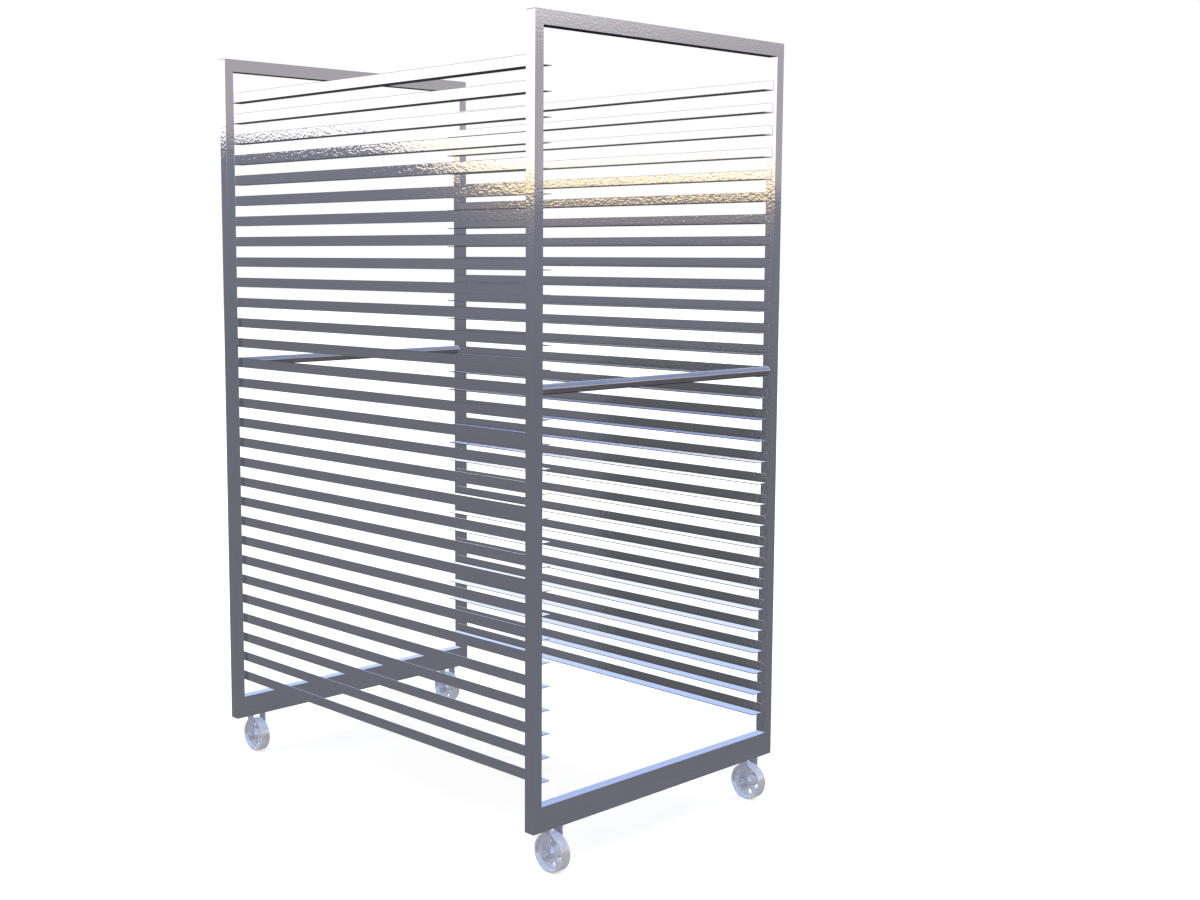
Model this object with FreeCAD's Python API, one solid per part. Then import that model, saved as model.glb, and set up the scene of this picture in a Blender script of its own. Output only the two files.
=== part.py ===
import FreeCAD, Part
import math
import os

# A rolling sheet pan rack: two welded tube end frames, joined only by thirty levels of
# L-shaped pan slides, each frame with one round cross rod, on four fixed casters.
# Millimetres. X is the width of the pan opening, Y the depth along the slides (front
# frame at -Y), +Z up. The origin is on the floor, under the middle of the rack.

Vector = FreeCAD.Vector

# Whole rack
OPENING_WIDTH = 673.0
FRAME_DEPTH = 1022.0
FRAME_HEIGHT = 1513.0

# End frame tubes
POST_WIDTH = 21.5
TUBE_DEPTH = 24.0
TOP_RAIL_HEIGHT = 27.5
BOTTOM_RAIL_HEIGHT = 49.5
TUBE_WALL = 1.5
TUBE_EDGE_RADIUS = 0.6
FRAME_CORNER_RADIUS = 1.2

# Pan slides
LEVELS = 30
LEVEL_PITCH = 45.7
FIRST_LEDGE_ABOVE_FRAME = 91.6
SLIDE_THICKNESS = 1.5
SLIDE_FLANGE_HEIGHT = 21.0
SLIDE_LEDGE_WIDTH = 29.2
SLIDE_END_SETBACK = 9.4
SLIDE_BEND_OUTER_RADIUS = 0.6
SLIDE_BEND_INNER_RADIUS = 0.4

# Cross rods, resting on the ledges of one level
ROD_LEVEL = 17
ROD_DIAMETER = 20.0
ROD_SETBACK = 13.0
ROD_END_CHAMFER = 1.0

# Casters
WHEEL_DIAMETER = 76.2
WHEEL_WIDTH = 22.4
WHEEL_EDGE_RADIUS = 1.2
RIM_THICKNESS = 4.2
RIM_DRAFT = 1.0
WEB_THICKNESS = 7.0
WEB_FILLET = 2.0
WEB_HOLES = 6
WEB_HOLE_DIAMETER = 12.0
WEB_HOLE_CIRCLE = 46.4
WEB_HOLE_PHASE_DEG = 15.0
WEB_HOLE_CHAMFER = 0.6
HUB_DIAMETER = 24.0
HUB_LENGTH = 26.8
HUB_DRAFT = 1.0
AXLE_BELOW_FRAME = 50.4
CASTER_INSET = 61.1
CHEEK_THICKNESS = 3.0
CHEEK_WIDTH = 22.0
CHEEK_SPACING = 30.0
CHEEK_BELOW_AXLE = 15.5
CHEEK_EDGE_RADIUS = 0.6

# Axle stack
BOLT_DIAMETER = 8.0
BOLT_HOLE_DIAMETER = 8.2
BOLT_TIP_BEYOND_NUT = 2.5
BOLT_TIP_CHAMFER = 0.8
HEX_ACROSS_FLATS = 13.0
BOLT_HEAD_HEIGHT = 5.3
NUT_HEIGHT = 6.8
NUT_COLLAR_DIAMETER = 11.4
NUT_COLLAR_HEIGHT = 1.4
SLEEVE_DIAMETER = 11.0
SLEEVE_BORE = 8.2
RUNNING_CLEARANCE = 0.08
BUSHING_DIAMETER = 16.0
WASHER_DIAMETER = 19.0
WASHER_THICKNESS = 1.2

# Worked out from the dimensions above
FRAME_WIDTH = OPENING_WIDTH + 2 * POST_WIDTH
AXLE_HEIGHT = WHEEL_DIAMETER / 2
FRAME_BOTTOM = AXLE_HEIGHT + AXLE_BELOW_FRAME
FRAME_TOP = FRAME_BOTTOM + FRAME_HEIGHT
FIRST_LEDGE = FRAME_BOTTOM + FIRST_LEDGE_ABOVE_FRAME
CHEEK_OUTER_FACE = CHEEK_SPACING / 2 + CHEEK_THICKNESS

AXES = {"x": Vector(1, 0, 0), "y": Vector(0, 1, 0), "z": Vector(0, 0, 1)}
MARGIN = 1.0


def box(low, high):
    size = high - low
    return Part.makeBox(size.x, size.y, size.z, low)


def edges_along(shape, axis):
    """The straight edges of a box-like shape that run parallel to one axis."""
    found = []
    for edge in shape.Edges:
        run = edge.Vertexes[-1].Point - edge.Vertexes[0].Point
        if run.Length > 0 and run.cross(AXES[axis]).Length < 1e-6 * run.Length:
            found.append(edge)
    return found


def rounded_box(low, high, axis, radius):
    """A box whose four edges parallel to the axis are rounded."""
    block = box(low, high)
    return block.makeFillet(radius, edges_along(block, axis))


def tube(low, high, axis):
    """A rectangular tube with rounded long edges, open at both ends."""
    wall = Vector(TUBE_WALL, TUBE_WALL, TUBE_WALL)
    past_ends = AXES[axis] * (TUBE_WALL + MARGIN)
    inside = box(low + wall - past_ends, high - wall + past_ends)
    return rounded_box(low, high, axis, TUBE_EDGE_RADIUS).cut(inside)


def prism(points, y_low, y_high):
    """A flat outline of (x, z) points, extruded along Y."""
    corners = [Vector(x, y_low, z) for x, z in points]
    outline = Part.makePolygon(corners + corners[:1])
    return Part.Face(outline).extrude(Vector(0, y_high - y_low, 0))


def end_frame(y_low):
    """The four mitred tubes of one end frame, by the name of each."""
    y_high = y_low + TUBE_DEPTH
    outer = FRAME_WIDTH / 2
    inner = OPENING_WIDTH / 2
    bottom = (FRAME_BOTTOM, FRAME_BOTTOM + BOTTOM_RAIL_HEIGHT)
    top = (FRAME_TOP, FRAME_TOP - TOP_RAIL_HEIGHT)
    envelope = rounded_box(
        Vector(-outer, y_low, bottom[0]), Vector(outer, y_high, top[0]), "y", FRAME_CORNER_RADIUS
    )

    def member(low, high, axis, outline):
        straight = tube(Vector(low[0], y_low, low[1]), Vector(high[0], y_high, high[1]), axis)
        mitred = straight.common(prism(outline, y_low - MARGIN, y_high + MARGIN))
        return mitred.common(envelope)

    def post(side):
        outline = [
            (side * outer, bottom[0]),
            (side * outer, top[0]),
            (side * inner, top[1]),
            (side * inner, bottom[1]),
        ]
        x_low, x_high = sorted((side * outer, side * inner))
        return member((x_low, bottom[0]), (x_high, top[0]), "z", outline)

    def rail(ends):
        outline = [(-outer, ends[0]), (outer, ends[0]), (inner, ends[1]), (-inner, ends[1])]
        return member((-outer, min(ends)), (outer, max(ends)), "x", outline)

    return {
        "left_post": post(-1),
        "right_post": post(1),
        "top_rail": rail(top),
        "bottom_rail": rail(bottom),
    }


def left_slide():
    """The lowest slide on the left: an upright flange with its ledge pointing inward."""
    wall_x = -OPENING_WIDTH / 2
    flange_x = wall_x + SLIDE_THICKNESS
    ledge_top = FIRST_LEDGE + SLIDE_THICKNESS
    outline = [
        (wall_x, FIRST_LEDGE),
        (wall_x + SLIDE_LEDGE_WIDTH, FIRST_LEDGE),
        (wall_x + SLIDE_LEDGE_WIDTH, ledge_top),
        (flange_x, ledge_top),
        (flange_x, FIRST_LEDGE + SLIDE_FLANGE_HEIGHT),
        (wall_x, FIRST_LEDGE + SLIDE_FLANGE_HEIGHT),
    ]
    half_length = FRAME_DEPTH / 2 - SLIDE_END_SETBACK
    angle = prism(outline, -half_length, half_length)
    for (x, z), radius in (
        ((wall_x, FIRST_LEDGE), SLIDE_BEND_OUTER_RADIUS),
        ((flange_x, ledge_top), SLIDE_BEND_INNER_RADIUS),
    ):
        bend = [
            edge
            for edge in edges_along(angle, "y")
            if math.hypot(edge.Vertexes[0].X - x, edge.Vertexes[0].Z - z) < 1e-6
        ]
        angle = angle.makeFillet(radius, bend)
    return angle


def cross_rod(y):
    """A round rod between the flanges of one level, resting on that level's ledges."""
    ledge_top = FIRST_LEDGE + (ROD_LEVEL - 1) * LEVEL_PITCH + SLIDE_THICKNESS
    half_length = OPENING_WIDTH / 2 - SLIDE_THICKNESS
    start = Vector(-half_length, y, ledge_top + ROD_DIAMETER / 2)
    rod = Part.makeCylinder(ROD_DIAMETER / 2, 2 * half_length, start, AXES["x"])
    ends = [edge for edge in rod.Edges if isinstance(edge.Curve, Part.Circle)]
    return rod.makeChamfer(ROD_END_CHAMFER, ends)


# The caster's pieces are made for the left side, around an axle centre at the origin,
# with the outer side towards -X.


def cylinder_x(diameter, x_low, x_high):
    return Part.makeCylinder(diameter / 2, x_high - x_low, Vector(x_low, 0, 0), AXES["x"])


def ring_x(outer_diameter, bore, x_low, x_high):
    past = cylinder_x(bore, x_low - MARGIN, x_high + MARGIN)
    return cylinder_x(outer_diameter, x_low, x_high).cut(past)


def hexagon_x(x_low, x_high):
    """A hexagonal head or nut with its corners rounded off at both ends."""
    corner = HEX_ACROSS_FLATS / math.sqrt(3)
    points = []
    for turn in range(7):
        angle = math.radians(60 * turn)
        points.append(Vector(x_low, corner * math.cos(angle), corner * math.sin(angle)))
    block = Part.Face(Part.makePolygon(points)).extrude(Vector(x_high - x_low, 0, 0))
    crown = cylinder_x(2 * corner, x_low, x_high)
    rims = [edge for edge in crown.Edges if isinstance(edge.Curve, Part.Circle)]
    crown = crown.makeChamfer((2 * corner - HEX_ACROSS_FLATS) / 2 * 0.9, rims)
    return block.common(crown)


def cheek(side):
    """One caster leg: a flat plate with a round lower end and a hole for the axle bolt."""
    x_low, x_high = sorted((side * CHEEK_SPACING / 2, side * CHEEK_OUTER_FACE))
    half = CHEEK_WIDTH / 2
    round_centre = half - CHEEK_BELOW_AXLE
    start = Vector(x_low, -half, AXLE_BELOW_FRAME)
    left_foot = Vector(x_low, -half, round_centre)
    lowest = Vector(x_low, 0, -CHEEK_BELOW_AXLE)
    right_foot = Vector(x_low, half, round_centre)
    finish = Vector(x_low, half, AXLE_BELOW_FRAME)
    outline = Part.Wire(
        [
            Part.LineSegment(start, left_foot).toShape(),
            Part.Arc(left_foot, lowest, right_foot).toShape(),
            Part.LineSegment(right_foot, finish).toShape(),
            Part.LineSegment(finish, start).toShape(),
        ]
    )
    plate = Part.Face(outline).extrude(Vector(x_high - x_low, 0, 0))
    rims = []
    for edge in plate.Edges:
        flat = edge.BoundBox.XLength < 1e-6
        if flat and edge.BoundBox.ZMin < AXLE_BELOW_FRAME - 1e-6:
            rims.append(edge)
    plate = plate.makeFillet(CHEEK_EDGE_RADIUS, rims)
    return plate.cut(cylinder_x(BOLT_HOLE_DIAMETER, x_low - MARGIN, x_high + MARGIN))


def circular_edges(shape, x, radius):
    """The full circles about the axle at plus and minus x, with this radius."""
    found = []
    for edge in shape.Edges:
        if not isinstance(edge.Curve, Part.Circle):
            continue
        centre = edge.Curve.Center
        on_axle = math.hypot(centre.y, centre.z) < 1e-6
        if on_axle and abs(abs(centre.x) - x) < 1e-6 and abs(edge.Curve.Radius - radius) < 1e-6:
            found.append(edge)
    return found


def wheel():
    """A cast wheel: rim, recessed web with a ring of holes, and a hub bored for a bushing."""
    tread = WHEEL_DIAMETER / 2
    rim_inside = tread - RIM_THICKNESS
    rim_root = rim_inside - RIM_DRAFT
    rim_half = WHEEL_WIDTH / 2
    web_half = WEB_THICKNESS / 2
    hub = HUB_DIAMETER / 2
    hub_nose = hub - HUB_DRAFT
    hub_half = HUB_LENGTH / 2
    bore = BUSHING_DIAMETER / 2
    right_half = [
        (rim_half, tread),
        (rim_half, rim_inside),
        (web_half, rim_root),
        (web_half, hub),
        (hub_half, hub_nose),
        (hub_half, bore),
    ]
    left_half = [(-x, radius) for x, radius in reversed(right_half)]
    corners = [Vector(x, 0, radius) for x, radius in right_half + left_half]
    section = Part.Face(Part.makePolygon(corners + corners[:1]))
    casting = section.revolve(Vector(0, 0, 0), AXES["x"], 360)
    for x, radius, fillet in (
        (web_half, rim_root, WEB_FILLET),
        (web_half, hub, WEB_FILLET),
        (rim_half, tread, WHEEL_EDGE_RADIUS),
        (rim_half, rim_inside, WHEEL_EDGE_RADIUS / 2),
        (hub_half, hub_nose, WHEEL_EDGE_RADIUS / 2),
    ):
        casting = casting.makeFillet(fillet, circular_edges(casting, x, radius))
    for number in range(WEB_HOLES):
        angle = math.radians(WEB_HOLE_PHASE_DEG + 360 / WEB_HOLES * number)
        y = WEB_HOLE_CIRCLE / 2 * math.cos(angle)
        z = WEB_HOLE_CIRCLE / 2 * math.sin(angle)
        drill = cylinder_x(WEB_HOLE_DIAMETER, -WHEEL_WIDTH, WHEEL_WIDTH)
        for side in (-1, 1):
            mouth = Part.makeCone(
                WEB_HOLE_DIAMETER / 2,
                WEB_HOLE_DIAMETER / 2 + WEB_HOLE_CHAMFER,
                WEB_HOLE_CHAMFER,
                Vector(side * (web_half - WEB_HOLE_CHAMFER), 0, 0),
                Vector(side, 0, 0),
            )
            drill = drill.fuse(mouth)
        casting = casting.cut(drill.translated(Vector(0, y, z)))
    return casting


def bushing():
    bore = SLEEVE_DIAMETER + 2 * RUNNING_CLEARANCE
    return ring_x(BUSHING_DIAMETER, bore, -HUB_LENGTH / 2, HUB_LENGTH / 2)


def axle_sleeve():
    return ring_x(SLEEVE_DIAMETER, SLEEVE_BORE, -CHEEK_SPACING / 2, CHEEK_SPACING / 2)


def axle_washers():
    """A thrust washer inside each cheek, beside the hub."""
    inside = CHEEK_SPACING / 2
    washer = ring_x(WASHER_DIAMETER, SLEEVE_DIAMETER, inside - WASHER_THICKNESS, inside)
    return [washer, washer.mirror(Vector(0, 0, 0), AXES["x"])]


def axle_bolt():
    """A hex bolt with its head on the outer cheek."""
    head = hexagon_x(-CHEEK_OUTER_FACE - BOLT_HEAD_HEIGHT, -CHEEK_OUTER_FACE)
    tip = CHEEK_OUTER_FACE + NUT_HEIGHT + BOLT_TIP_BEYOND_NUT
    shank = cylinder_x(BOLT_DIAMETER, -CHEEK_OUTER_FACE - BOLT_HEAD_HEIGHT / 2, tip)
    shank = shank.makeChamfer(BOLT_TIP_CHAMFER, circular_edges(shank, tip, BOLT_DIAMETER / 2))
    return head.fuse(shank).removeSplitter()


def axle_nut():
    """A lock nut, with its round collar, on the inner cheek."""
    hex_top = CHEEK_OUTER_FACE + NUT_HEIGHT - NUT_COLLAR_HEIGHT
    body = hexagon_x(CHEEK_OUTER_FACE, hex_top)
    collar = cylinder_x(NUT_COLLAR_DIAMETER, CHEEK_OUTER_FACE, hex_top + NUT_COLLAR_HEIGHT)
    bore = cylinder_x(BOLT_DIAMETER, CHEEK_OUTER_FACE - MARGIN, hex_top + 2 * NUT_COLLAR_HEIGHT)
    return body.fuse(collar).cut(bore).removeSplitter()


def at_caster(shape, side, end):
    """A left caster piece, mirrored for the right side and moved to its corner."""
    placed = shape if side < 0 else shape.mirror(Vector(0, 0, 0), AXES["x"])
    x = side * (FRAME_WIDTH / 2 - CASTER_INSET)
    y = end * (FRAME_DEPTH / 2 - TUBE_DEPTH / 2)
    return placed.translated(Vector(x, y, AXLE_HEIGHT))


def caster_corners():
    """Each corner's name, with its side (-1 left) and end (-1 front)."""
    for end_name, end in (("front", -1), ("rear", 1)):
        for side_name, side in (("left", -1), ("right", 1)):
            yield f"{end_name}_{side_name}", side, end


def build():
    """Every node's shape, by name."""
    nodes = {}
    frames = (("front", -FRAME_DEPTH / 2), ("rear", FRAME_DEPTH / 2 - TUBE_DEPTH))
    for end_name, y_low in frames:
        for member_name, shape in end_frame(y_low).items():
            nodes[f"{end_name}_{member_name}"] = shape
    rod_y = FRAME_DEPTH / 2 - ROD_SETBACK
    nodes["front_cross_rod"] = cross_rod(-rod_y)
    nodes["rear_cross_rod"] = cross_rod(rod_y)

    left = left_slide()
    pair = Part.makeCompound([left, left.mirror(Vector(0, 0, 0), AXES["x"])])
    for level in range(LEVELS):
        rise = Vector(0, 0, level * LEVEL_PITCH)
        nodes[f"slide_pair_{level + 1:02d}"] = pair.translated(rise)

    rolling = wheel()
    bearing = bushing()
    shared = {
        "axle_bolts": [axle_bolt()],
        "axle_nuts": [axle_nut()],
        "axle_sleeves": [axle_sleeve()],
        "axle_washers": axle_washers(),
    }
    placed = {name: [] for name in shared}
    for corner, side, end in caster_corners():
        nodes[f"{corner}_caster_outer_cheek"] = at_caster(cheek(-1), side, end)
        nodes[f"{corner}_caster_inner_cheek"] = at_caster(cheek(1), side, end)
        nodes[f"{corner}_wheel"] = at_caster(rolling, side, end)
        nodes[f"{corner}_wheel_bushing"] = at_caster(bearing, side, end)
        for name, pieces in shared.items():
            placed[name] += [at_caster(piece, side, end) for piece in pieces]
    for name, pieces in placed.items():
        nodes[name] = Part.makeCompound(pieces)
    return nodes


os.makedirs("parts", exist_ok=True)
for node_name, node_shape in build().items():
    node_shape.exportStep(f"parts/{node_name}.step")
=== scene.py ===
import math

import bmesh
import bpy
from mathutils import Matrix, Vector


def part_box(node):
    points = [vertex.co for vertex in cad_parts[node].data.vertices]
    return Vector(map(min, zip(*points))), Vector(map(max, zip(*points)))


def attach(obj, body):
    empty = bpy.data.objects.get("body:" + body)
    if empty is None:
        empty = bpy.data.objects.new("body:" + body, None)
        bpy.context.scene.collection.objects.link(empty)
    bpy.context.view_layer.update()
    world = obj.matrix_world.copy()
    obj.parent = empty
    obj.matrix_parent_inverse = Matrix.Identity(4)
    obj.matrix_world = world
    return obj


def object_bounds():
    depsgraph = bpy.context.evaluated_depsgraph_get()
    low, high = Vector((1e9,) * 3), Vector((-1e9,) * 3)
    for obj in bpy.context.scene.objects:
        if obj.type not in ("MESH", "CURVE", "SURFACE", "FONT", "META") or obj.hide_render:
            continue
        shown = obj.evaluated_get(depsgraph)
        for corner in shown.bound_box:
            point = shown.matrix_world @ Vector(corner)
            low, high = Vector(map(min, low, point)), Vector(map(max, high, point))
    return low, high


# A rolling sheet pan rack in satin stainless steel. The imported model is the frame; this
# script gives it its finishes, adds the weld beads, and sets up the camera and the
# light. Metres. X is the width of the pan opening, Y the depth along the slides.

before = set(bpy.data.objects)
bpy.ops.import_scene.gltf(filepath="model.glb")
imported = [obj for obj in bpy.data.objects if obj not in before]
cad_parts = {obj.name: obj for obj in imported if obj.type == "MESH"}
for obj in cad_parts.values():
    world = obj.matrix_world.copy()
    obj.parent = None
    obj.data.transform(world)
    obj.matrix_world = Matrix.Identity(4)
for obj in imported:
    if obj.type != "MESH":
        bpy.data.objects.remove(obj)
cad_low, cad_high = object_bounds()
MM = 0.001

# Camera
CAMERA_PLACE = Vector((-2.305, -2.536, 1.174))
CAMERA_AZIMUTH = math.radians(-42.78)
CAMERA_ELEVATION = math.radians(6.376)
CAMERA_LENS_MM = 46.74
CAMERA_SENSOR_MM = 36.0
CAMERA_SHIFT = (0.0794, -0.0203)

# Studio: colours of what surrounds the rack, as light
FLOOR_RADIUS = 30.0
FLOOR_SIDES = 96
FLOOR_COLOUR = (0.88, 0.88, 0.88, 1.0)
FLOOR_GLOW = 0.46
BACKDROP = (1.0, 1.0, 1.0, 1.0)
SOFT_LIGHT = (1.12, 1.12, 1.12, 1.0)
SKY_LOW = (1.80, 1.78, 1.74, 1.0)
SKY_MIDDLE = (0.74, 0.93, 1.40, 1.0)
SKY_HIGH = (0.60, 0.77, 1.20, 1.0)
SKY_AHEAD = (0.33, 0.41, 0.74, 1.0)
SKY_BEHIND = (0.64, 0.60, 0.64, 1.0)
SKY_PALE_TO_BLUE = (0.150, 0.265)
SKY_BLUE_TO_DEEP = (0.265, 0.360)
BEHIND_TURN = (0.30, 0.75)
BEHIND_HEIGHT = (0.20, 0.12)
AHEAD_TURN = (0.75, 0.95)
AHEAD_HEIGHT = (0.136, 0.128)
GROUND_NEAR = (0.305, 0.310, 0.380, 1.0)
GROUND_GLOW = (0.47, 0.43, 0.44, 1.0)
GLOW_DEPTH = (-0.035, -0.004)
GROUND = (0.235, 0.242, 0.280, 1.0)
GROUND_FADE = (-0.01, -0.12)
PANEL_SHADE = (0.68, 0.69, 0.66, 1.0)
PANEL_SLOPES = (0.775, 0.955)
PANEL_TOP = -0.066
PANEL_EDGE = 0.004
PANEL_TOP_EDGE = 0.002
WARM_LINE = (1.92, 1.52, 0.86, 1.0)
WARM_WIDTH = 0.019
WARM_SIDE = (-0.60, -0.70)
HORIZON_MIDDLE = 0.036
HORIZON_ENDS = 0.069
HORIZON_STEP = (0.715, 0.800)
HORIZON_CORNER = 0.060
CORNER_TURN = (-0.15, 0.10)
HORIZON_SOFTNESS = 0.0012

# Weld beads
SLIDE_WELD_RADIUS = 0.6 * MM
CHEEK_WELD_RADIUS = 1.5 * MM
ROD_WELD_RADIUS = 1.4 * MM
CORNER_WELD_RADIUS = 0.8 * MM
RIPPLE_PITCH = 1.6 * MM
RIPPLE_SWELL = 0.12
BEAD_SIDES = 8


# ---------------------------------------------------------------- node helpers

class Tree:
    """A small helper that adds and links shader nodes."""

    def __init__(self, node_tree):
        self.tree = node_tree
        self.tree.nodes.clear()

    def add(self, kind, **settings):
        node = self.tree.nodes.new(kind)
        for name, value in settings.items():
            setattr(node, name, value)
        return node

    def put(self, socket, value):
        """Gives a socket a number, or links it to another node's output."""
        if isinstance(value, bpy.types.NodeSocket):
            self.tree.links.new(value, socket)
        else:
            socket.default_value = value

    def maths(self, operation, *values):
        node = self.add("ShaderNodeMath", operation=operation)
        for socket, value in zip(node.inputs, values):
            self.put(socket, value)
        return node.outputs[0]

    def remap(self, value, low, high, to_low=0.0, to_high=1.0, smooth=True):
        node = self.add("ShaderNodeMapRange")
        node.interpolation_type = "SMOOTHSTEP" if smooth else "LINEAR"
        sockets = ("Value", "From Min", "From Max", "To Min", "To Max")
        for socket, given in zip(sockets, (value, low, high, to_low, to_high)):
            self.put(node.inputs[socket], given)
        return node.outputs["Result"]

    def mix(self, factor, first, second):
        node = self.add("ShaderNodeMix", data_type="RGBA")
        self.put(node.inputs[0], factor)
        self.put(node.inputs[6], first)
        self.put(node.inputs[7], second)
        return node.outputs[2]

    def tint(self, colour, shade):
        """Multiplies one colour by another."""
        node = self.add("ShaderNodeMix", data_type="RGBA", blend_type="MULTIPLY")
        self.put(node.inputs[0], 1.0)
        self.put(node.inputs[6], colour)
        self.put(node.inputs[7], shade)
        return node.outputs[2]

    def split(self, vector):
        node = self.add("ShaderNodeSeparateXYZ")
        self.put(node.inputs[0], vector)
        return node.outputs

    def noise(self, vector, scale, detail=2.0):
        """Cloudy noise. scale is a number, or one number for each axis, per metre."""
        if not isinstance(scale, (int, float)):
            stretch = self.add("ShaderNodeMapping")
            self.put(stretch.inputs["Vector"], vector)
            stretch.inputs["Scale"].default_value = scale
            vector, scale = stretch.outputs[0], 1.0
        node = self.add("ShaderNodeTexNoise")
        self.put(node.inputs["Vector"], vector)
        node.inputs["Scale"].default_value = scale
        node.inputs["Detail"].default_value = detail
        return node.outputs[0]

    def bump(self, height, distance, normal=None):
        node = self.add("ShaderNodeBump")
        self.put(node.inputs["Height"], height)
        node.inputs["Distance"].default_value = distance
        if normal is not None:
            self.put(node.inputs["Normal"], normal)
        return node.outputs[0]


# ---------------------------------------------------------------- studio

def studio_world():
    """A bright sky over a slate ground for the metal to mirror, and soft white light."""
    world = bpy.data.worlds.new("studio_world")
    bpy.context.scene.world = world
    world.use_nodes = True
    world.cycles.sampling_method = "NONE"
    tree = Tree(world.node_tree)
    across, along, height = tree.split(tree.add("ShaderNodeTexCoord").outputs["Generated"])

    # the sky turns blue higher up, and is dimmer behind the camera and bluer ahead of it
    sky = tree.mix(tree.remap(height, *SKY_PALE_TO_BLUE, smooth=False), SKY_LOW, SKY_MIDDLE)
    sky = tree.mix(tree.remap(height, *SKY_BLUE_TO_DEEP), sky, SKY_HIGH)
    nearer = tree.maths("SUBTRACT", tree.maths("MULTIPLY", across, 0.8), tree.maths("MULTIPLY", along, 0.6))
    behind = tree.maths("MULTIPLY", tree.remap(nearer, *BEHIND_TURN), tree.remap(height, *BEHIND_HEIGHT))
    sky = tree.mix(behind, sky, SKY_BEHIND)
    further = tree.maths("MULTIPLY", tree.maths("ADD", across, along), 0.707)
    ahead = tree.maths("MULTIPLY", tree.remap(further, *AHEAD_TURN), tree.remap(height, *AHEAD_HEIGHT))
    sky = tree.mix(ahead, sky, SKY_AHEAD)

    # the horizon stands higher towards the ends of the rack than beside it
    rise = tree.remap(tree.maths("ABSOLUTE", along), *HORIZON_STEP, HORIZON_MIDDLE, HORIZON_ENDS)
    corner = tree.remap(tree.maths("MULTIPLY", across, along), *CORNER_TURN, 0.0, HORIZON_CORNER)
    above = tree.maths("SUBTRACT", height, tree.maths("ADD", rise, corner))
    warm_side = tree.remap(across, *WARM_SIDE)
    glow = tree.maths("MULTIPLY", tree.remap(above, WARM_WIDTH, 0.3 * WARM_WIDTH), warm_side)
    sky = tree.mix(glow, sky, WARM_LINE)
    ground = tree.mix(tree.remap(above, *GROUND_FADE, smooth=False), GROUND_NEAR, GROUND)
    ground = tree.mix(tree.maths("MULTIPLY", tree.remap(above, *GLOW_DEPTH), warm_side), ground, GROUND_GLOW)
    # a darker upright panel stands on the ground to one side
    slope = tree.maths("ABSOLUTE", tree.maths("DIVIDE", along, across))
    panel = tree.maths("MULTIPLY", tree.remap(slope, PANEL_SLOPES[0], PANEL_SLOPES[0] + PANEL_EDGE),
                       tree.remap(slope, PANEL_SLOPES[1], PANEL_SLOPES[1] - PANEL_EDGE))
    panel = tree.maths("MULTIPLY", panel, tree.remap(across, 0.0, -0.05))
    panel = tree.maths("MULTIPLY", panel, tree.remap(height, PANEL_TOP, PANEL_TOP - PANEL_TOP_EDGE))
    ground = tree.mix(panel, ground, tree.tint(ground, PANEL_SHADE))
    surround = tree.mix(tree.remap(above, -HORIZON_SOFTNESS, HORIZON_SOFTNESS), ground, sky)

    path = tree.add("ShaderNodeLightPath")
    colour = tree.mix(path.outputs["Is Diffuse Ray"], surround, SOFT_LIGHT)
    colour = tree.mix(path.outputs["Is Camera Ray"], colour, BACKDROP)
    light = tree.add("ShaderNodeBackground")
    tree.put(light.inputs["Color"], colour)
    tree.put(tree.add("ShaderNodeOutputWorld").inputs["Surface"], light.outputs[0])


def new_object(name, mesh):
    made = bpy.data.objects.new(name, mesh)
    bpy.context.scene.collection.objects.link(made)
    return made


def floor():
    mesh = bpy.data.meshes.new("studio_floor")
    shape = bmesh.new()
    bmesh.ops.create_circle(shape, cap_ends=True, segments=FLOOR_SIDES, radius=FLOOR_RADIUS)
    shape.to_mesh(mesh)
    shape.free()
    plane = new_object("studio_floor", mesh)
    plane.location.z = cad_low.z
    plane.visible_glossy = False
    material, _, surface = new_material("pale_floor", metallic=0.0)
    surface.inputs["Base Color"].default_value = FLOOR_COLOUR
    surface.inputs["Roughness"].default_value = 1.0
    surface.inputs["Specular IOR Level"].default_value = 0.0
    surface.inputs["Emission Color"].default_value = FLOOR_COLOUR
    surface.inputs["Emission Strength"].default_value = FLOOR_GLOW
    mesh.materials.append(material)


def camera():
    data = bpy.data.cameras.new("camera")
    data.sensor_width = CAMERA_SENSOR_MM
    data.lens = CAMERA_LENS_MM
    data.shift_x, data.shift_y = CAMERA_SHIFT
    data.clip_start = 0.05
    data.clip_end = 100.0
    viewer = new_object("camera", data)
    viewer.location = CAMERA_PLACE
    back = Vector((
        math.sin(CAMERA_AZIMUTH) * math.cos(CAMERA_ELEVATION),
        -math.cos(CAMERA_AZIMUTH) * math.cos(CAMERA_ELEVATION),
        math.sin(CAMERA_ELEVATION),
    ))
    right = Vector((math.cos(CAMERA_AZIMUTH), math.sin(CAMERA_AZIMUTH), 0.0))
    viewer.rotation_euler = Matrix((right, back.cross(right), back)).transposed().to_euler()
    bpy.context.scene.camera = viewer


# ---------------------------------------------------------------- finishes

GRAIN_FINE = 1400.0
GRAIN_LONG = 14.0
GRAIN_DEPTH = 0.00000015
MOTTLE = (210.0, 125.0, 210.0)
MOTTLE_DEPTH = 0.00007
ALONG = {
    "x": (GRAIN_LONG, GRAIN_FINE, GRAIN_FINE),
    "y": (GRAIN_FINE, GRAIN_LONG, GRAIN_FINE),
    "z": (GRAIN_FINE, GRAIN_FINE, GRAIN_LONG),
}
# painted shade beside the posts: its width, where it starts, the height over which it fades, and how dark it
# is
POST_SHADE_WIDTH = 17.0 * MM
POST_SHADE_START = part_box("rear_left_post")[0].y - POST_SHADE_WIDTH
POST_SHADE_HEIGHT = (1.08, 1.00)
POST_SHADE_DARKNESS = 0.68
WHITE = (1.0, 1.0, 1.0, 1.0)
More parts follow.
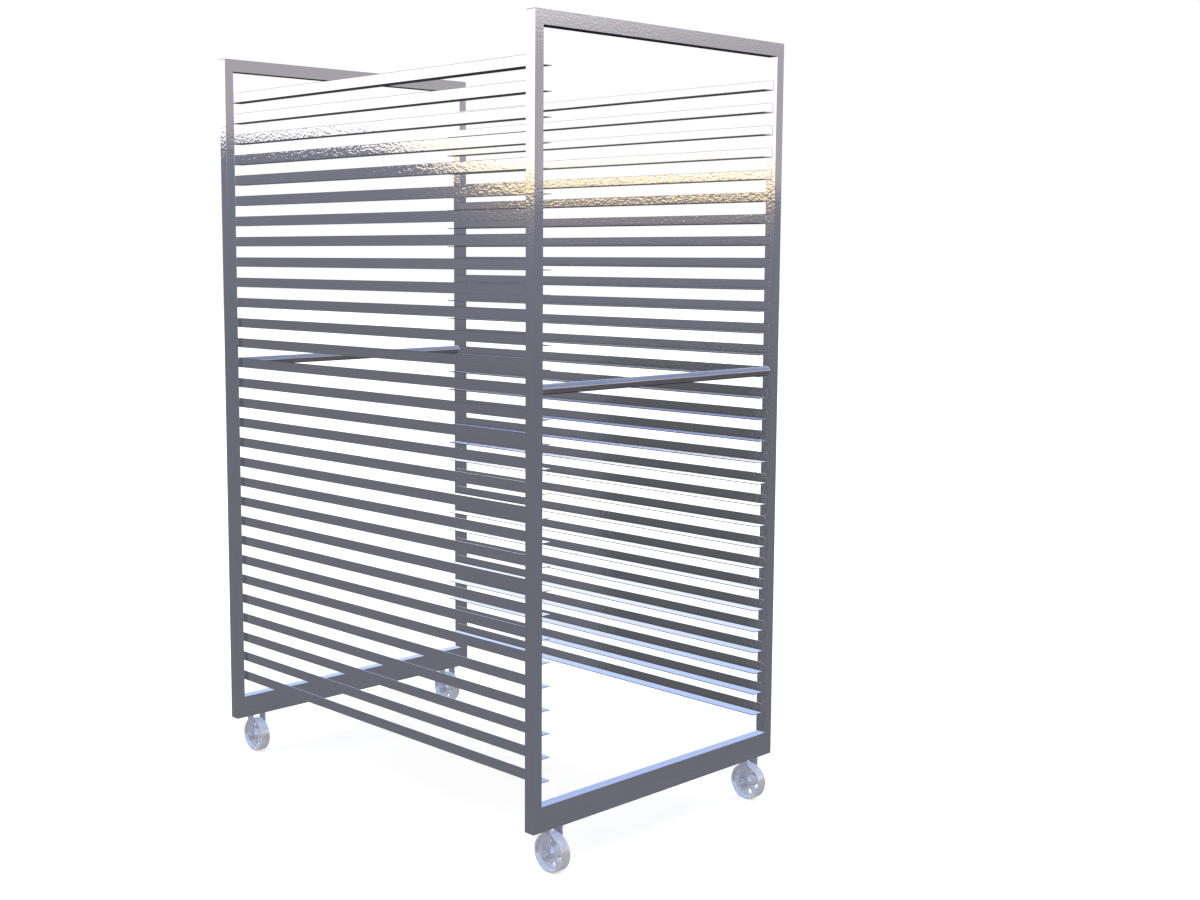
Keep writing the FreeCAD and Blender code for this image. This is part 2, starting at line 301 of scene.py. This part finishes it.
# painted shade: the dark specular tint on undersides, bends, sheared edges and rim lines
PAINTED_SHADE_TINT = (0.05, 0.05, 0.05, 1.0)
SMUDGES = 9.0
# painted shade in inside corners: how far the occlusion reaches, and how dark it paints
CORNER_REACH = 10.0 * MM
CORNER_PAINTED_SHADE = 0.45


def new_material(name, metallic=1.0):
    material = bpy.data.materials.new(name)
    material.use_nodes = True
    tree = Tree(material.node_tree)
    surface = tree.add("ShaderNodeBsdfPrincipled")
    surface.inputs["Metallic"].default_value = metallic
    tree.put(tree.add("ShaderNodeOutputMaterial").inputs["Surface"], surface.outputs[0])
    return material, tree, surface


def satin_steel(name, axis, colour, roughness, streak=0.92, painted_shade_level=0.12, bends=True, cut=None, rim=None):
    """Brushed stainless steel, its grain along one axis, with smudges and a fine mottle, and painted shade in
    inside corners and on undersides, bends and sheared edges.
    cut is the distance from the middle plane within which a vertical face is a sheared edge; with it, the
    lower slides' outer faces also get painted shade beside the posts.
    rim is the axis, and the share of the piece along it, of a painted dark line on faces across X."""
    material, tree, surface = new_material(name)
    coordinates = tree.add("ShaderNodeTexCoord")
    place = coordinates.outputs["Object"]
    grain = tree.noise(place, ALONG[axis])
    smudge = tree.noise(place, SMUDGES, detail=4.0)
    mottle = tree.noise(place, MOTTLE, detail=1.0)
    facing = tree.split(tree.add("ShaderNodeNewGeometry").outputs["Normal"])
    upward = facing[2]

    def shade(part):
        return (*(part * channel for channel in colour), 1.0)

    base = tree.mix(tree.remap(grain, 0.30, 0.70), shade(streak), shade(1.0))
    # painted shade: ambient occlusion darkens the colour in inside corners, though not on faces that point up
    corner = tree.add("ShaderNodeAmbientOcclusion", samples=6, only_local=True)
    corner.inputs["Distance"].default_value = CORNER_REACH
    clear = tree.maths("MAXIMUM", tree.remap(corner.outputs["AO"], 0.30, 0.80), tree.remap(upward, 0.5, 0.9))
    base = tree.mix(clear, shade(CORNER_PAINTED_SHADE), base)
    # painted shade: undersides, bends and sheared edges get a dark colour and a dark specular tint
    painted_shade_mask = tree.remap(upward, -0.6, -0.95)
    if bends:
        bend = tree.maths("ABSOLUTE", tree.maths("SUBTRACT", upward, 0.5))
        painted_shade_mask = tree.maths("MAXIMUM", painted_shade_mask, tree.remap(bend, 0.42, 0.30))
    if cut is not None:
        level = tree.remap(tree.maths("ABSOLUTE", upward), 0.5, 0.3)
        from_middle = tree.maths("ABSOLUTE", tree.split(place)[0])
        free_edge = tree.remap(from_middle, cut + 0.4 * MM, cut + 0.2 * MM)
        painted_shade_mask = tree.maths("MAXIMUM", painted_shade_mask, tree.maths("MULTIPLY", level, free_edge))
        # painted shade: the outer faces are darkened where the lower slides meet the posts
        from_side, from_front, above_floor = tree.split(place)
        beside_post = tree.remap(tree.maths("ABSOLUTE", from_front), POST_SHADE_START, POST_SHADE_START + 1.0 * MM)
        outward = tree.remap(tree.maths("MULTIPLY", from_side, facing[0]), 0.1, 0.2)
        shaded_by_post = tree.maths("MULTIPLY", beside_post, tree.remap(above_floor, *POST_SHADE_HEIGHT))
        base = tree.mix(tree.maths("MULTIPLY", shaded_by_post, outward), base, shade(POST_SHADE_DARKNESS))
    # painted shade: a thin dark line at the high end of the given axis, on faces across X
    if rim is not None:
        axis_number, share = rim
        extent = tree.split(coordinates.outputs["Generated"])[axis_number]
        outer = tree.remap(extent, 1.0 - share, 1.0 - 0.9 * share)
        sideways = tree.remap(tree.maths("ABSOLUTE", facing[0]), 0.5, 0.9)
        painted_shade_mask = tree.maths("MAXIMUM", painted_shade_mask, tree.maths("MULTIPLY", outer, sideways))
    # painted shade: a darkened colour and a dark specular tint on undersides, bends, sheared edges and rim
    # lines
    tree.put(surface.inputs["Base Color"], tree.mix(painted_shade_mask, base, shade(painted_shade_level)))
    tree.put(surface.inputs["Specular Tint"], tree.mix(painted_shade_mask, WHITE, PAINTED_SHADE_TINT))

    rough = tree.maths("ADD", tree.remap(smudge, 0.35, 0.75, roughness * 0.8, roughness * 1.5),
                       tree.remap(grain, 0.3, 0.7, -0.01, 0.01))
    tree.put(surface.inputs["Roughness"], rough)
    brushed = tree.bump(grain, GRAIN_DEPTH)
    tree.put(surface.inputs["Normal"], tree.bump(mottle, MOTTLE_DEPTH, brushed))
    return material


def cast_aluminium():
    """A cast and turned wheel: grainy web, turned rim and hub, dirty tread, painted shade in its hollows."""
    material, tree, surface = new_material("cast_aluminium", metallic=0.55)
    coordinates = tree.add("ShaderNodeTexCoord")
    place = coordinates.outputs["Object"]
    _, fore, up = tree.split(coordinates.outputs["Generated"])
    fore = tree.maths("SUBTRACT", fore, 0.5)
    up = tree.maths("SUBTRACT", up, 0.5)
    squares = tree.maths("ADD", tree.maths("POWER", fore, 2.0), tree.maths("POWER", up, 2.0))
    radius = tree.maths("SQRT", squares)
    web = tree.maths("MULTIPLY", tree.remap(radius, 0.150, 0.165), tree.remap(radius, 0.440, 0.425))
    tread = tree.remap(radius, 0.488, 0.497)

    grit = tree.noise(place, 1500.0, detail=3.0)
    stain = tree.noise(place, 70.0, detail=4.0)
    clean = tree.mix(stain, (0.66, 0.68, 0.75, 1.0), (0.78, 0.80, 0.87, 1.0))
    # painted shade: ambient occlusion darkens the colour in the wheel's hollows and holes
    hollow_occlusion = tree.add("ShaderNodeAmbientOcclusion", samples=6, only_local=True)
    hollow_occlusion.inputs["Distance"].default_value = 0.006
    clean = tree.mix(tree.remap(hollow_occlusion.outputs["AO"], 0.15, 0.80), (0.10, 0.10, 0.12, 1.0), clean)
    soiled = tree.mix(grit, (0.52, 0.50, 0.51, 1.0), (0.70, 0.68, 0.71, 1.0))
    worn = tree.maths("MULTIPLY", tread, tree.remap(stain, 0.35, 0.6, 0.45, 1.0))
    tree.put(surface.inputs["Base Color"], tree.mix(worn, clean, soiled))
    rough = tree.maths("ADD", tree.remap(web, 0.0, 1.0, 0.24, 0.44), tree.remap(stain, 0.3, 0.7, -0.04, 0.08))
    tree.put(surface.inputs["Roughness"], rough)

    rings = tree.maths("SINE", tree.maths("MULTIPLY", radius, 900.0))
    turned = tree.bump(tree.maths("MULTIPLY", rings, tree.maths("SUBTRACT", 1.0, web)), 0.000012)
    cast = tree.maths("MULTIPLY", grit, tree.remap(web, 0.0, 1.0, 0.25, 1.0))
    tree.put(surface.inputs["Normal"], tree.bump(cast, 0.00015, turned))
    return material


def plated(name, pale, deep, roughness, grit=1100.0, metallic=1.0):
    """Zinc plate, turned steel or bronze: a mottled colour and a fine grain."""
    material, tree, surface = new_material(name, metallic)
    place = tree.add("ShaderNodeTexCoord").outputs["Object"]
    cloud = tree.noise(place, 120.0, detail=4.0)
    fine = tree.noise(place, grit, detail=2.0)
    base = tree.mix(tree.remap(cloud, 0.35, 0.65), (*deep, 1.0), (*pale, 1.0))
    tree.put(surface.inputs["Base Color"], base)
    rough = tree.maths("ADD", tree.remap(fine, 0.3, 0.7, roughness * 0.8, roughness * 1.2),
                       tree.remap(cloud, 0.3, 0.7, 0.0, 0.06))
    tree.put(surface.inputs["Roughness"], rough)
    tree.put(surface.inputs["Normal"], tree.bump(fine, 0.00004))
    return material


def weld_metal():
    """Weld metal, darker than the sheet, with straw and blue heat tints."""
    material, tree, surface = new_material("weld_metal")
    place = tree.add("ShaderNodeTexCoord").outputs["Object"]
    heat = tree.noise(place, 160.0, detail=2.0)
    cool = tree.mix(tree.remap(heat, 0.35, 0.5), (0.58, 0.59, 0.62, 1.0), (0.63, 0.63, 0.64, 1.0))
    base = tree.mix(tree.remap(heat, 0.52, 0.70), cool, (0.64, 0.60, 0.54, 1.0))
    tree.put(surface.inputs["Base Color"], base)
    tree.put(surface.inputs["Roughness"], tree.remap(heat, 0.3, 0.7, 0.12, 0.24))
    tree.put(surface.inputs["Normal"], tree.bump(tree.noise(place, 2600.0), 0.00003))
    return material


STEEL = (0.62, 0.62, 0.64)
POLISH = 0.028
ROD_STEEL = (0.47, 0.435, 0.425)
LEDGE_WIDTH = 29.2 * MM
FREE_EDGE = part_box("slide_pair_01")[1].x - LEDGE_WIDTH
FINISHES = {
    "post": satin_steel("satin_post_steel", "z", STEEL, POLISH, rim=(1, 0.016)),
    "rail": satin_steel("satin_rail_steel", "x", STEEL, POLISH),
    "slide": satin_steel("satin_slide_steel", "y", STEEL, POLISH, cut=FREE_EDGE, rim=(2, 0.030)),
    # the rod's painted shade underneath is paler than the sheet's
    "rod": satin_steel("satin_rod_steel", "x", ROD_STEEL, 0.09, streak=0.62, painted_shade_level=0.6, bends=False),
    "cheek": plated("zinc_plate", (0.45, 0.47, 0.56), (0.39, 0.41, 0.50), 0.36, metallic=0.35),
    "fastener": plated("zinc_fastener", (0.58, 0.59, 0.67), (0.46, 0.47, 0.55), 0.28, metallic=0.5),
    "sleeve": plated("turned_steel", (0.62, 0.62, 0.64), (0.54, 0.54, 0.57), 0.22),
    "bushing": plated("sintered_bronze", (0.62, 0.45, 0.26), (0.46, 0.32, 0.18), 0.34, grit=2200.0),
    "wheel": cast_aluminium(),
    "weld": weld_metal(),
}
FINISH_WORDS = (
    ("_post", "post"), ("_rail", "rail"), ("slide_pair", "slide"), ("cross_rod", "rod"), ("cheek", "cheek"),
    ("bushing", "bushing"), ("sleeves", "sleeve"), ("axle_", "fastener"), ("wheel", "wheel"),
)


def finish_nodes():
    for name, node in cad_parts.items():
        finish = next(key for word, key in FINISH_WORDS if word in name)
        node.data.materials.clear()
        node.data.materials.append(FINISHES[finish])
        node.visible_glossy = False


# ---------------------------------------------------------------- weld beads

def bead(shape, points, radius, closed=False):
    """Adds a rippled round bead along evenly spaced points, tapered at its ends."""
    rings = []
    count = len(points)
    for number, point in enumerate(points):
        ahead = points[(number + 1) % count] if closed else points[min(number + 1, count - 1)]
        behind = points[number - 1] if closed else points[max(number - 1, 0)]
        run = (ahead - behind).normalized()
        across = run.orthogonal().normalized()
        if closed:
            across = Vector((1, 0, 0))
        beside = run.cross(across)
        swell = 1.0 - RIPPLE_SWELL + RIPPLE_SWELL * math.cos(math.pi * number)
        if not closed:
            edge = min(number, count - 1 - number)
            swell *= min(1.0, 0.45 + 0.30 * edge)
        ring = []
        for side in range(BEAD_SIDES):
            angle = 2 * math.pi * side / BEAD_SIDES
            offset = across * math.cos(angle) + beside * math.sin(angle)
            ring.append(shape.verts.new(point + offset * radius * swell))
        rings.append(ring)
    pairs = list(zip(rings, rings[1:]))
    if closed:
        pairs.append((rings[-1], rings[0]))
    for first, second in pairs:
        for side in range(BEAD_SIDES):
            near = (side + 1) % BEAD_SIDES
            shape.faces.new((first[side], first[near], second[near], second[side]))
    if not closed:
        shape.faces.new(reversed(rings[0]))
        shape.faces.new(rings[-1])


def straight(start, end, pitch=RIPPLE_PITCH / 2):
    steps = max(4, round((end - start).length / pitch))
    return [start.lerp(end, step / steps) for step in range(steps + 1)]


def finish_piece(name, shape, finish, smooth=True):
    bmesh.ops.recalc_face_normals(shape, faces=shape.faces)
    mesh = bpy.data.meshes.new(name)
    shape.to_mesh(mesh)
    shape.free()
    for face in mesh.polygons:
        face.use_smooth = smooth
    mesh.materials.append(FINISHES[finish])
    piece = new_object(name, mesh)
    piece.visible_glossy = False
    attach(piece, "rack")
    return piece


def mirrored(point, side, end):
    return Vector((side * point.x, end * point.y, point.z))


CORNERS = [(side, end) for side in (-1, 1) for end in (-1, 1)]


def slide_welds():
    """Each slide flange is welded to its posts, at its end and where it leaves the post."""
    post_low, post_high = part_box("front_right_post")
    wall = post_low.x
    slides = sorted(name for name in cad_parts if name.startswith("slide_pair"))
    ends, sides = bmesh.new(), bmesh.new()
    for name in slides:
        low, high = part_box(name)
        foot, head = low.z + 3.0 * MM, high.z - 2.0 * MM
        for side, end in CORNERS:
            for shape, x, y in (
                (ends, wall - 0.3 * MM, high.y + 0.2 * MM),
                (sides, wall + 0.3 * MM, -post_high.y - 0.3 * MM),
            ):
                start = mirrored(Vector((x, y, foot)), side, end)
                finish = mirrored(Vector((x, y, head)), side, end)
                bead(shape, straight(start, finish), SLIDE_WELD_RADIUS)
    finish_piece("slide_end_welds", ends, "weld")
    finish_piece("slide_side_welds", sides, "weld")


def rod_welds():
    """A ring of weld where each cross rod's end meets a slide flange."""
    shape = bmesh.new()
    for name in ("front_cross_rod", "rear_cross_rod"):
        low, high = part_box(name)
        radius = (high.z - low.z) / 2
        middle = (low + high) / 2
        steps = 4 * round(math.pi * radius / RIPPLE_PITCH)
        for x in (low.x + 0.4 * MM, high.x - 0.4 * MM):
            ring = []
            for step in range(steps):
                angle = 2 * math.pi * step / steps
                lean = Vector((0, math.cos(angle), math.sin(angle)))
                ring.append(Vector((x, middle.y, middle.z)) + lean * (radius - 0.4 * MM))
            bead(shape, ring, ROD_WELD_RADIUS, closed=True)
    finish_piece("cross_rod_welds", shape, "weld")


def cheek_welds():
    """Fillets along both faces of each caster cheek, under the bottom rail."""
    shape = bmesh.new()
    for name in sorted(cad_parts):
        if "cheek" not in name:
            continue
        low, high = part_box(name)
        for x in (low.x, high.x):
            start = Vector((x, low.y + 1.5 * MM, high.z - 0.3 * MM))
            finish = Vector((x, high.y - 1.5 * MM, high.z - 0.3 * MM))
            bead(shape, straight(start, finish), CHEEK_WELD_RADIUS)
    finish_piece("caster_cheek_welds", shape, "weld")


def corner_welds():
    """A small fillet across each inside corner of the two end frames."""
    post_low, post_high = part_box("front_right_post")
    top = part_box("front_top_rail")[0].z
    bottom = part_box("front_bottom_rail")[1].z
    shape = bmesh.new()
    for side, end in CORNERS:
        for z in (bottom + 0.2 * MM, top - 0.2 * MM):
            start = mirrored(Vector((post_low.x - 0.2 * MM, -post_low.y - 1.5 * MM, z)), side, end)
            finish = mirrored(Vector((post_low.x - 0.2 * MM, -post_high.y + 1.5 * MM, z)), side, end)
            bead(shape, straight(start, finish), CORNER_WELD_RADIUS)
    finish_piece("frame_corner_welds", shape, "weld")


bpy.context.scene.view_settings.view_transform = "Standard"
camera()
studio_world()
floor()
finish_nodes()
slide_welds()
rod_welds()
cheek_welds()
corner_welds()
